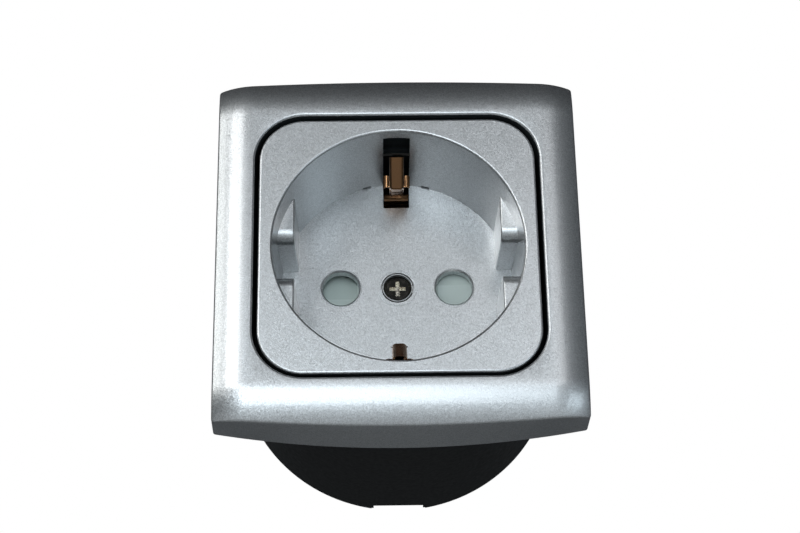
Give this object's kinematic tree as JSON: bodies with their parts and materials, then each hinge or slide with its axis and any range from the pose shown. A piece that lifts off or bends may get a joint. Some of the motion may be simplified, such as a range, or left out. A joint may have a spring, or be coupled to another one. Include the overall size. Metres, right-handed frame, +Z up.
{
  "type": "wall socket",
  "caption": "Round-recess wall socket with side earth clips in a square silver cover frame, with a pin shutter and a round black rear box.",
  "frame": {"origin": "on the socket's axis in the plane of the panel's face, at the middle of the four panel screw holes", "axes": "+X to the right and +Z up on the wall, seen from the room; +Y into the wall, so the front faces -Y"},
  "size_m": [0.059, 0.0508, 0.0622],
  "materials": {
    "silver_lacquer": "silver metallic lacquer with fine flakes",
    "black_moulding": "black moulded plastic, slightly glossy",
    "shutter_plastic": "pale greenish white plastic",
    "zinc_steel": "zinc-plated steel",
    "nickel_screw": "dark nickel plate",
    "spring_steel": "bright spring wire",
    "contact_brass": "bright brass strip",
    "earth_bronze": "copper-coloured spring bronze"
  },
  "bodies": {
    "socket": {"cover_frame": "silver_lacquer", "centre_plate": "silver_lacquer", "centre_screw": "nickel_screw", "mounting_plate": "zinc_steel", "shutter_spring": "spring_steel", "shutter_cover": "shutter_plastic", "contact_cover": "black_moulding", "insert_base": "black_moulding", "contact_left": "contact_brass", "contact_right": "contact_brass", "earth_strap": "earth_bronze", "centre_nut": "zinc_steel", "rear_box": "black_moulding", "base_screw_top": "zinc_steel", "base_screw_bottom": "zinc_steel", "box_screw_left": "zinc_steel", "box_screw_right": "zinc_steel", "terminal_screw_left": "zinc_steel", "terminal_screw_right": "zinc_steel", "terminal_screw_earth": "zinc_steel", "clamp_plate_left": "zinc_steel", "clamp_plate_right": "zinc_steel", "clamp_plate_earth": "zinc_steel", "cover_screw_upper": "zinc_steel", "cover_screw_lower": "zinc_steel"},
    "shutter": {"shutter": "shutter_plastic"}
  },
  "joints": [
    {"name": "shutter_turn", "type": "hinge", "parent": "socket", "child": "shutter", "pos_m": [0, 0.0094, 0], "axis": [0, -1, 0], "range_deg": [0, 42], "stiffness_Nm_per_rad": 0.003, "springref_deg": -20.05, "deforming": ["shutter_spring"]}
  ]
}
